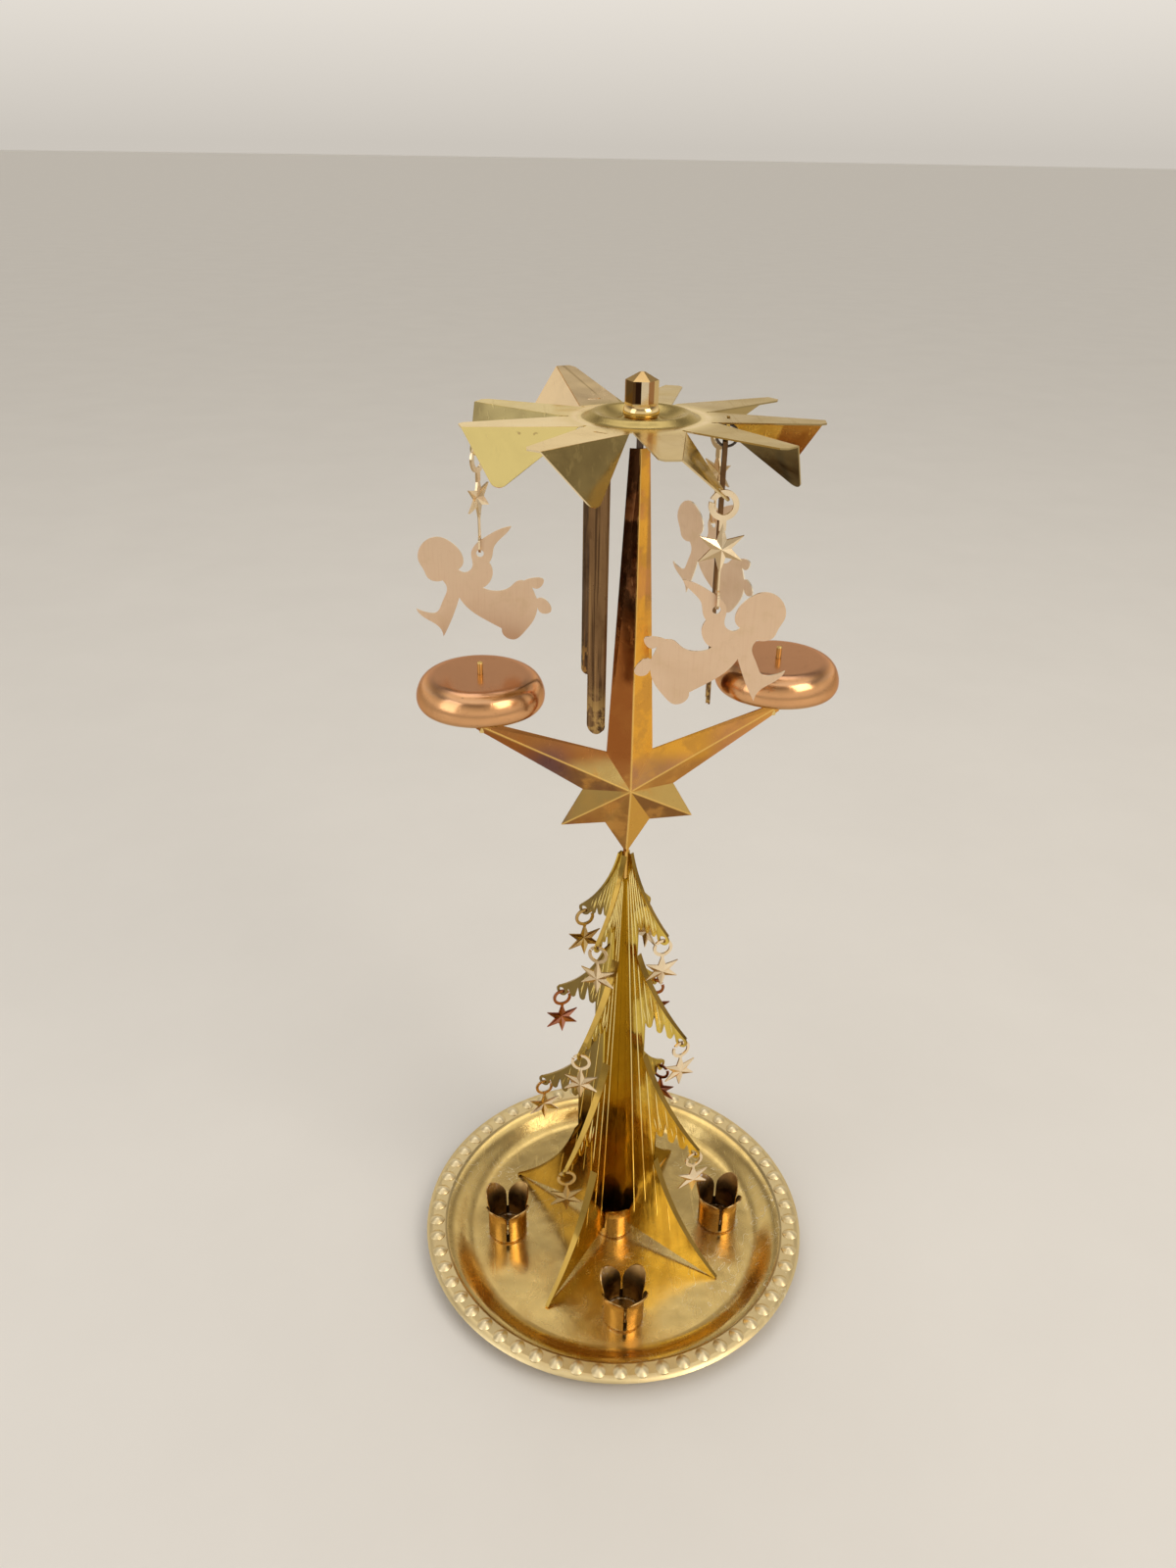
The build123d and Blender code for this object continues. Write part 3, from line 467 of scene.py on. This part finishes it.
def wheel_finish():
    """Pale satin brass, each blade painted its own tone by bearing as painted light and shade."""
    graph = metal("wheel_brass", (0.88, 0.74, 0.42), (0.60, 0.47, 0.20), 0.14, 0.12, 0.4, 0.5,
                  0.55)
    bearing = graph.bearing()
    radius = graph.distance((0.0, 0.0))
    strip_light_and_shade = graph.sectors(bearing, (
        (-180, 1.0, 0.86, 0.60), (-140, 0.95, 0.78, 0.50), (-100, 0.66, 0.51, 0.28),
        (-60, 0.46, 0.34, 0.15), (-20, 0.38, 0.27, 0.11), (20, 0.40, 0.29, 0.12),
        (60, 0.50, 0.38, 0.18), (100, 1.0, 0.79, 0.53), (140, 0.80, 0.69, 0.37)))
    # painted light and shade: each blade's strip in its own tone, pale on the left, darker on the
    # right
    graph.paint(graph.between(radius, *wheel_strips, 0.0, 0.9), strip_light_and_shade)
    upward = graph.facing((0, 0, 1))
    flap = graph.near(graph.maths("ABSOLUTE", upward), 0.60, 0.30)
    flap_light_and_shade = graph.sectors(bearing, (
        (-180, 0.72, 0.59, 0.23), (-140, 0.52, 0.39, 0.15), (-100, 0.48, 0.37, 0.15),
        (-60, 0.10, 0.06, 0.02), (-14, 1.0, 0.76, 0.18), (28, 0.46, 0.34, 0.14),
        (60, 0.52, 0.40, 0.18), (100, 1.0, 0.79, 0.53), (140, 0.72, 0.60, 0.26)))
    # painted light and shade: each flap in its own tone by bearing
    graph.paint(graph.times(flap, 0.97), flap_light_and_shade)
    wander = graph.maths("ADD", radius, graph.times(graph.noise(120, detail=3), 0.004))
    outer = graph.between(wander, *flap_ends)
    on_flap = graph.times(outer, flap)
    # painted shade: orange-brown over the outer part of one flap
    orange_tip_shade = graph.times(graph.near(bearing, 9.0, 22.0), on_flap)
    graph.paint(graph.times(orange_tip_shade, 0.9), (0.42, 0.17, 0.04))
    # painted shade: near black at the outer edge of the darkest flap
    black_tip_shade = graph.times(graph.near(bearing, -33.0, 12.0), graph.near(wander, 0.0405, 0.0022))
    graph.paint(graph.times(black_tip_shade, 0.85), (0.03, 0.02, 0.012))
    gleam = graph.times(graph.near(bearing, -22.0, 8.0), graph.near(wander, 0.0380, 0.0035))
    graph.paint(graph.times(graph.times(gleam, flap), 0.7), (0.62, 0.38, 0.10))
    # painted shade: a dark line along a crease in one blade
    crease_shade = graph.times(graph.near(bearing, 112.5, 1.0), graph.between(radius, 0.022, 0.026))
    graph.paint(graph.times(crease_shade, 0.6), (0.42, 0.30, 0.14))
    stroke = graph.times(graph.near(bearing, 106.0, 1.2), graph.near(radius, 0.036, 0.004))
    graph.paint(graph.times(stroke, 0.6), (0.25, 0.16, 0.08))
    graph.emboss(graph.noise(1800, detail=2, place=graph.line(radius)), 0.08, 0.00003)
    # painted highlight: a bright cream ring round the dish
    pressed = graph.near(radius, pressed_ring, 0.0016)
    graph.paint(graph.times(pressed, 0.7), (1.0, 0.84, 0.62))
    # painted shade: the dish darker olive, with its roughness raised
    centre = graph.between(radius, *wheel_dish)
    graph.paint(graph.times(centre, 0.95), (0.46, 0.35, 0.13))
    graph.roughen(centre, 0.10)
    stained = graph.between(graph.noise(420, detail=4, rough=0.7), 0.66, 0.74)
    graph.paint(graph.times(stained, 0.55), (0.30, 0.20, 0.08))
    return graph


def hub_finish():
    """Polished brass with painted light and shade: each side face of the cap in its own tone."""
    graph = metal("hub_brass", (0.92, 0.70, 0.34), (0.36, 0.18, 0.07), 0.08, 0.08, 0.45, 0.2, 0.5)
    # painted light and shade: a tone for each side face of the cap, near black to cream
    faces = graph.sectors(graph.bearing(), (
        (-180, 0.12, 0.06, 0.02), (-120, 0.035, 0.015, 0.007), (-99, 1.0, 0.84, 0.58),
        (-72, 0.50, 0.25, 0.10), (-40, 0.90, 0.66, 0.30), (0, 0.28, 0.14, 0.05),
        (60, 0.95, 0.72, 0.36), (120, 0.40, 0.22, 0.08)))
    side = graph.near(graph.facing((0, 0, 1)), 0.0, 0.3)
    on_cap = graph.between(graph.corners()[2], *cap_sides)
    graph.paint(graph.times(side, on_cap), faces)
    # painted shade: darker on faces that look up
    top = graph.between(graph.facing((0, 0, 1)), 0.3, 0.7)
    graph.paint(graph.times(top, 0.6), (0.34, 0.20, 0.08))
    return graph


def bell_finish():
    """Coppery satin with painted light and shade: the flat top browner, a paler shoulder, a bright
    rim.
    """
    graph = metal("bell_copper", (0.76, 0.41, 0.19), (0.50, 0.25, 0.11), 0.17, 0.07, 0.5, 0.05,
                  0.3)
    upward = graph.facing((0, 0, 1))
    # painted shade: the flat top browner
    top = graph.between(upward, 0.82, 0.97)
    graph.paint(graph.times(top, 0.75), (0.55, 0.31, 0.20))
    # painted highlight: a paler band on the shoulder
    shoulder = graph.near(upward, 0.72, 0.2)
    graph.paint(graph.times(shoulder, 0.4), (0.86, 0.54, 0.34))
    # painted highlight: a bright rim
    edge = graph.between(graph.corners()[2], *bell_rim)
    graph.paint(graph.times(edge, 0.7), (0.95, 0.70, 0.42))
    # painted shade: darker inside
    inside = graph.between(upward, -0.1, -0.5)
    graph.paint(graph.times(inside, 0.5), (0.34, 0.20, 0.10))
    dots = graph.between(graph.noise(1500, detail=2), 0.68, 0.73)
    graph.paint(graph.times(dots, 0.6), (0.25, 0.14, 0.07))
    return graph


def cup_finish(name, centre):
    """Golden brown outside, black with soot inside, with wax left on some petals."""
    graph = metal(name, (0.62, 0.40, 0.15), (0.34, 0.18, 0.07), 0.15, 0.14, 0.6, 0.4, 0.6)
    x, y, z = graph.corners()
    normal = graph.add("ShaderNodeNewGeometry").outputs["Normal"]
    across, along, _ = graph.apart(normal)
    outward = graph.maths("ADD", graph.times(across, graph.maths("SUBTRACT", x, centre[0])),
                        graph.times(along, graph.maths("SUBTRACT", y, centre[1])))
    inner = graph.between(outward, 0.001, -0.001)
    clouds = graph.between(graph.noise(260, detail=5, rough=0.65), 0.38, 0.66)
    soot = graph.times(inner, graph.maths("ADD", 0.50, graph.times(clouds, 0.45)))
    warm = graph.between(z, 0.0095, 0.0150, 1.0, 0.45)
    graph.paint(graph.times(soot, warm), (0.045, 0.022, 0.010))
    graph.roughen(inner, 0.16)
    tips = graph.between(z, *petal_tips)
    graph.paint(graph.times(tips, graph.times(clouds, 0.6)), (0.34, 0.18, 0.07))
    wax = graph.between(graph.noise(900, detail=3), 0.54, 0.6)
    waxed = graph.times(wax, graph.between(z, 0.0125, 0.015))
    amount = 0.75 if name.endswith("right") else 0.22
    petal = graph.near(graph.bearing(centre), 135.0, 50.0)
    graph.paint(graph.times(waxed, graph.times(petal, amount)), (0.80, 0.74, 0.76))
    if centre != (0.0, 0.0):
        quarter = graph.maths("COSINE", graph.times(graph.bearing(centre), math.radians(4)))
        # painted shade: dark slits between the petals, carried down towards the foot
        slit_shade = graph.times(graph.between(quarter, 0.90, 0.96), graph.between(z, 0.0012, 0.0018))
        graph.paint(graph.times(slit_shade, graph.between(z, 0.0056, 0.0050)), (0.02, 0.013, 0.01))
    foot = graph.between(z, 0.0030, 0.0012)
    graph.paint(graph.times(foot, graph.times(wax, 0.5)), (0.72, 0.66, 0.58))
    return graph


def angel_finish(name, facing):
    """Matt brushed brass with bright cut edges."""
    graph = metal(name, (0.84, 0.62, 0.43), (0.70, 0.49, 0.31), 0.34, 0.1, 0.4, 0.1, 0.3)
    grain = graph.noise(1.0, detail=2, place=graph.stretch((2600, 2600, 90)))
    graph.emboss(grain, 0.10, 0.00002)
    graph.roughen(graph.between(grain, 0.4, 0.7), 0.10)
    graph.paint(graph.between(grain, 0.52, 0.70, 0.0, 0.14), (0.70, 0.49, 0.33))
    clouds = graph.noise(260, detail=5, rough=0.6)
    graph.paint(graph.between(clouds, 0.52, 0.70, 0.0, 0.35), (0.72, 0.52, 0.30))
    turned = math.radians(facing)
    square = graph.maths("ABSOLUTE", graph.facing((-math.sin(turned), math.cos(turned), 0)))
    edge = graph.between(square, 0.75, 0.35)
    graph.paint(edge, (0.98, 0.90, 0.72))
    graph.roughen(edge, -0.22)
    return graph


def striker_finish(name, bright, tarnish):
    """Dark tarnished strip with upright streaks, rubbed lighter in patches at its lower end."""
    graph = metal(name, bright, tarnish, 0.26, 0.16, 0.85, 0.4, 0.7)
    upright = graph.noise(1.0, detail=3, place=graph.stretch((1100, 1100, 30)))
    graph.paint(graph.between(upright, 0.56, 0.66, 0.0, 0.6), (0.42, 0.25, 0.10))
    graph.paint(graph.between(upright, 0.46, 0.38, 0.0, 0.7), (0.05, 0.026, 0.014))
    end = graph.between(graph.corners()[2], *striker_end)
    patches = graph.between(graph.noise(330, detail=4), 0.46, 0.56)
    graph.paint(graph.times(graph.times(end, patches), 0.7), (0.60, 0.38, 0.13))
    return graph


def star_finish(name, bright, tarnish, shade):
    """Pressed stars with painted shade: facets that lean away from the upper right take the shade
    colour.
    """
    graph = metal(name, bright, tarnish, 0.16, 0.10, 0.5, 0.2, 0.4)
    lean = graph.facing((0.55, -0.15, 0.82))
    # painted shade: the facets that lean away from the upper right
    graph.paint(graph.between(lean, -0.02, -0.10, 0.0, 0.75), shade)
    # painted shade, in part: the facets that face up and to the left
    graph.paint(graph.between(graph.facing((-0.8, 0.0, 0.6)), 0.25, 0.35, 0.0, 0.4), shade)
    return graph


def finishes():
    """The record's material slots, each with its own finish."""
    pale = (1.0, 0.83, 0.58)
    gold = (0.83, 0.62, 0.24)
    brown = (0.36, 0.22, 0.09)
    return {
        "tray_brass": tray_finish(),
        "tree_gold": tree_finish(),
        "ornament_brass": star_finish("ornament_brass", pale, (0.64, 0.46, 0.24),
                                      (0.40, 0.26, 0.11)),
        "wheel_brass": wheel_finish(),
        "link_brass": star_finish("link_brass", pale, (0.66, 0.48, 0.25), (0.42, 0.27, 0.11)),
        "mast_copper": mast_finish(),
        "bell_copper": bell_finish(),
        "post_brass": metal("post_brass", gold, brown, 0.28, 0.14, 0.6),
        "hub_brass": hub_finish(),
        "rivet_brass": metal("rivet_brass", gold, brown, 0.3, 0.14, 0.6),
        "needle_steel": metal("needle_steel", (0.16, 0.12, 0.10), (0.06, 0.04, 0.03),
                              0.32, 0.12, 0.6),
        "ring_steel": metal("ring_steel", (0.14, 0.12, 0.11), (0.05, 0.04, 0.03),
                            0.36, 0.16, 0.6),
        "striker_brass": striker_finish("striker_brass", (0.24, 0.135, 0.06), (0.08, 0.04, 0.018)),
    }


def special_finishes():
    """Nodes whose finish differs from the others of their slot."""
    special = {"centre_socket": cup_finish("cup_brass_centre", (0.0, 0.0))}
    for side, place in cup_places.items():
        special["candle_cup_" + side] = cup_finish("cup_brass_" + side, place)
    for name, facing in angel_facings.items():
        special[name] = angel_finish("angel_brass_" + name[-1], facing)
    red = star_finish("ornament_red", (0.56, 0.24, 0.15), (0.28, 0.11, 0.07), (0.14, 0.04, 0.025))
    for name in ("wing3_bough2", "wing2_bough2", "wing2_bough3"):
        special["tree_star_" + name] = red
    dull = star_finish("ornament_dull", (0.66, 0.47, 0.20), (0.40, 0.26, 0.10), (0.24, 0.14, 0.05))
    for name in ("wing3_bough1", "wing4_bough3"):
        special["tree_star_" + name] = dull
    special["striker_2"] = striker_finish("striker_brass_dark", (0.16, 0.11, 0.07),
                                          (0.05, 0.03, 0.02))
    return special


def dress(finish, special):
    for row in frame["record"]["subparts"]:
        node = row["node"]
        chosen = special[node] if node in special else finish[row["material_slot"]]
        for place in frame["nodes"][node].material_slots:
            place.material = chosen.material


def new_piece(name, shape, finish):
    """Puts a bmesh into the scene as a piece that rides on the stand."""
    mesh = bpy.data.meshes.new(name)
    bmesh.ops.recalc_face_normals(shape, faces=shape.faces)
    shape.to_mesh(mesh)
    shape.free()
    piece = bpy.data.objects.new(name, mesh)
    bpy.context.collection.objects.link(piece)
    mesh.materials.append(finish.material)
    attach(piece, "stand")
    return piece


def bead_height(out):
    """Height over the flange at a share of the bead's half length; its edge lies just under it."""
    if out < 1:
        return bead_rise * (1 - out * out) ** bead_swell - bead_sink
    return -edge_sink if out == 1 else -edge_sink - skirt_sink


def add_bead(shape, bearing):
    """A rounded drop pressed up out of the flange, narrower towards the middle of the tray."""
    place = Matrix.Rotation(bearing, 4, "Z") @ Matrix.Translation((bead_radius, 0, tray_top))
    rows = []
    for out in bead_rings:
        row = []
        for step in range(bead_sides):
            around = 2 * math.pi * step / bead_sides
            narrow = 1 - bead_taper * (1 - math.cos(around)) / 2
            along = bead_half_length * out * math.cos(around)
            across = bead_half_width * out * narrow * math.sin(around)
            row.append(shape.verts.new(place @ Vector((along, across, bead_height(out)))))
        rows.append(row)
    top = shape.verts.new(place @ Vector((0, 0, bead_rise)))
    for step in range(bead_sides):
        after = (step + 1) % bead_sides
        shape.faces.new((top, rows[0][step], rows[0][after]))
        for inner, outer in zip(rows, rows[1:]):
            shape.faces.new((inner[step], outer[step], outer[after], inner[after]))
    shape.faces.new(rows[-1])


def make_beads(finish):
    shape = bmesh.new()
    for bead in range(bead_count):
        add_bead(shape, 2 * math.pi * bead / bead_count)
    piece = new_piece("tray_beads", shape, finish)
    for face in piece.data.polygons:
        face.use_smooth = True


def sheet_here(tree, along, across, out, height, side):
    """True where the tree's sheet has its flat face here, with a little of it all round."""
    moves = ((0, 0), (probe_margin, 0), (-probe_margin, 0), (0, probe_margin), (0, -probe_margin))
    for move_out, move_up in moves:
        place = along * (out + move_out) + Vector((0, 0, height + move_up))
        start = place + across * side * probe_reach
        _, _, _, gap = tree.ray_cast(start, -across * side, 2 * probe_reach)
        if gap is None or abs(gap - (probe_reach - tree_surface)) > probe_slack:
            return False
    return True


def add_rib(shape, points, along, across, side, half, rise):
    """A low rounded rib along the points, tapered to nothing at both ends."""
    rows = []
    last = len(points) - 1
    face = tree_surface - rib_sink
    for i, (out, height) in enumerate(points):
        ahead, behind = points[min(i + 1, last)], points[max(i - 1, 0)]
        run = Vector((ahead[0] - behind[0], ahead[1] - behind[1])).normalized()
        share = min(1.0, rib_end_share + min(i, last - i) / rib_end_steps)
        row = []
        for offset, lift in rib_section:
            o = out - run.y * half * offset * share
            h = height + run.x * half * offset * share
            level = along * o + Vector((0, 0, h))
            row.append(shape.verts.new(level + across * side * (face + rise * lift * share)))
        rows.append(row)
    columns = len(rib_section)
    for first, second in zip(rows, rows[1:]):
        for k in range(columns):
            after = (k + 1) % columns
            shape.faces.new((first[k], first[after], second[after], second[k]))
    shape.faces.new(rows[0])
    shape.faces.new(rows[-1])


def long_lines():
    """The long pressed lines of one wing, outwards and up, each as (points, half width)."""
    lines = []
    for number in range(long_count):
        slope = long_first_slope + long_slope_step * number
        bottom = long_foot + long_foot_step * ((number * 5) % 3)
        heights = [bottom + long_step * i for i in range(int((long_top - bottom) / long_step))]
        lines.append(([(slope * (tree_apex - h), h) for h in heights], long_half))
    return lines


def fringe_strokes():
    """The short pressed strokes over each bough's fringe, of uneven lengths."""
    lines = []
    for (end_out, end_height), start in zip(bough_ends, stroke_starts):
        for number in range(stroke_count):
            foot = start + (end_out - start) * (number + 0.5) / stroke_count
            steps = 5 + 5 * ((number * 3) % 4) / 4 + 3 * (1 - number / stroke_count)
            heights = [end_height - stroke_drop + stroke_step * i for i in range(int(steps + 3))]
            points = [(foot - stroke_lean * (h - end_height), h) for h in heights]
            lines.append((points, stroke_half))
    return lines


def make_ribs(finish):
    lines = long_lines() + fringe_strokes()
    for name, turned in (("tree_panel_first", tree_turn), ("tree_panel_second", tree_turn + 90)):
        panel = frame["nodes"][name].data
        corners = [vertex.co for vertex in panel.vertices]
        tree = BVHTree.FromPolygons(corners, [face.vertices for face in panel.polygons])
        shape = bmesh.new()
        for wing in (turned, turned + 180):
            along = Vector((math.cos(math.radians(wing)), math.sin(math.radians(wing)), 0))
            across = Vector((-along.y, along.x, 0))
            for side in (-1, 1):
                for points, half in lines:
                    here = []
                    for point in points + [None]:
                        if point and sheet_here(tree, along, across, point[0], point[1], side):
                            here.append(point)
                            continue
                        if len(here) > rib_least_points:
                            add_rib(shape, here, along, across, side, half, rib_rise)
                        here = []
        new_piece(name + "_ribs", shape, finish)


def make_floor():
    mesh = bpy.data.meshes.new("floor")
    shape = bmesh.new()
    bmesh.ops.create_circle(shape, cap_ends=True, segments=floor_sides, radius=floor_radius)
    shape.to_mesh(mesh)
    shape.free()
    floor = bpy.data.objects.new("floor", mesh)
    bpy.context.collection.objects.link(floor)
    graph = Graph("floor")
    grain = graph.noise(12, detail=6, rough=0.6)
    tone = graph.colour(grain, (0.74, 0.73, 0.71), (0.80, 0.79, 0.77))
    graph.feed(graph.shader.inputs["Base Color"], tone)
    graph.shader.inputs["Roughness"].default_value = 0.75
    mesh.materials.append(graph.material)


def make_light(name, place, aim, side, power, colour):
    data = bpy.data.lights.new(name, "AREA")
    data.shape = "RECTANGLE"
    data.size, data.size_y = side
    data.energy = power
    data.color = colour
    light = bpy.data.objects.new(name, data)
    bpy.context.collection.objects.link(light)
    light.location = place
    light.rotation_mode = "QUATERNION"
    light.rotation_quaternion = (Vector(aim) - Vector(place)).to_track_quat("-Z", "Y")


def make_world():
    """A plain room, the same for the camera and for the metal: pale near the horizon, dark at mid
    height and pale overhead."""
    world = bpy.data.worlds.new("room")
    bpy.context.scene.world = world
    world.use_nodes = True
    tree = world.node_tree
    nodes, links = tree.nodes, tree.links
    nodes.clear()
    out = nodes.new("ShaderNodeOutputWorld")
    room = nodes.new("ShaderNodeBackground")
    places = nodes.new("ShaderNodeTexCoord")
    parts = nodes.new("ShaderNodeSeparateXYZ")
    links.new(places.outputs["Generated"], parts.inputs[0])
    ramp = nodes.new("ShaderNodeValToRGB")
    links.new(parts.outputs["Z"], ramp.inputs["Fac"])
    while len(ramp.color_ramp.elements) < len(room_tones):
        ramp.color_ramp.elements.new(0.5)
    for element, (place, *colour) in zip(ramp.color_ramp.elements, room_tones):
        element.position = place
        element.color = (*colour, 1)
    links.new(ramp.outputs["Color"], room.inputs["Color"])
    links.new(room.outputs[0], out.inputs["Surface"])


def make_studio():
    make_floor()
    make_world()
    for lamp in lamps:
        make_light(*lamp)


make_camera()
finish = finishes()
dress(finish, special_finishes())
make_beads(bead_finish())
make_ribs(rib_highlight_finish())
make_studio()
bpy.context.scene.view_settings.view_transform = "Standard"
